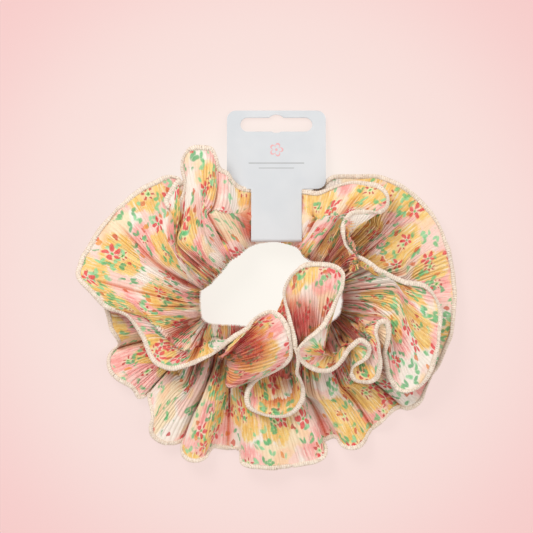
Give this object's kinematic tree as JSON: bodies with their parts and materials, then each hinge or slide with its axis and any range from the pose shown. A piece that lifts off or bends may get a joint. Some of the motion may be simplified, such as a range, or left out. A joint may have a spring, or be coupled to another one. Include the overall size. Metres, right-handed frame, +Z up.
{
  "type": "ruffled scrunchie",
  "caption": "Ruffled hair scrunchie of pleated floral cloth on an elastic ring, held by a folded header card that hangs on a peg.",
  "frame": {"origin": "centre of the whole part in X and Y, on the surface it lies on", "axes": "+Z up out of the surface, +Y from the ring to the top of the header card, +X across the ring to the right half"},
  "size_m": [0.1656, 0.1589, 0.0355],
  "materials": {
    "pleated_fabric": "matt pleated cloth printed with small flowers",
    "overlock_thread": "matt cream overlock thread",
    "sewing_thread": "matt twisted thread",
    "elastic": "braided elastic band",
    "header_card": "smooth white card"
  },
  "bodies": {
    "left_half": {"elastic_band": "elastic", "elastic_join_stitch": "sewing_thread", "casing_left": "pleated_fabric", "front_frill_left": "pleated_fabric", "rear_frill_left": "pleated_fabric", "front_edging_left": "overlock_thread", "rear_edging_left": "overlock_thread", "channel_stitch_left": "sewing_thread"},
    "right_half": {"casing_right": "pleated_fabric", "front_frill_right": "pleated_fabric", "rear_frill_right": "pleated_fabric", "front_edging_right": "overlock_thread", "rear_edging_right": "overlock_thread", "channel_stitch_right": "sewing_thread", "closing_seam": "overlock_thread"},
    "card_front": {"card_front_panel": "header_card"},
    "card_back": {"card_back_panel": "header_card"}
  },
  "joints": [
    {"name": "stretch", "type": "slide", "parent": "left_half", "child": "right_half", "axis": [1, 0, 0], "range_m": [0, 0.08], "stiffness_N_per_m": 45, "deforming": ["elastic_band"]},
    {"name": "card_follow", "type": "slide", "parent": "left_half", "child": "card_front", "axis": [1, 0, 0], "range_m": [0, 0.04]},
    {"name": "card_fold", "type": "hinge", "parent": "card_front", "child": "card_back", "pos_m": [0.0042, 0.0206, 0.0002], "axis": [-1, 0, 0], "range_deg": [0, 150]}
  ],
  "couplings": [
    {"joint": "card_follow", "follows": "stretch", "ratio": 0.5}
  ]
}
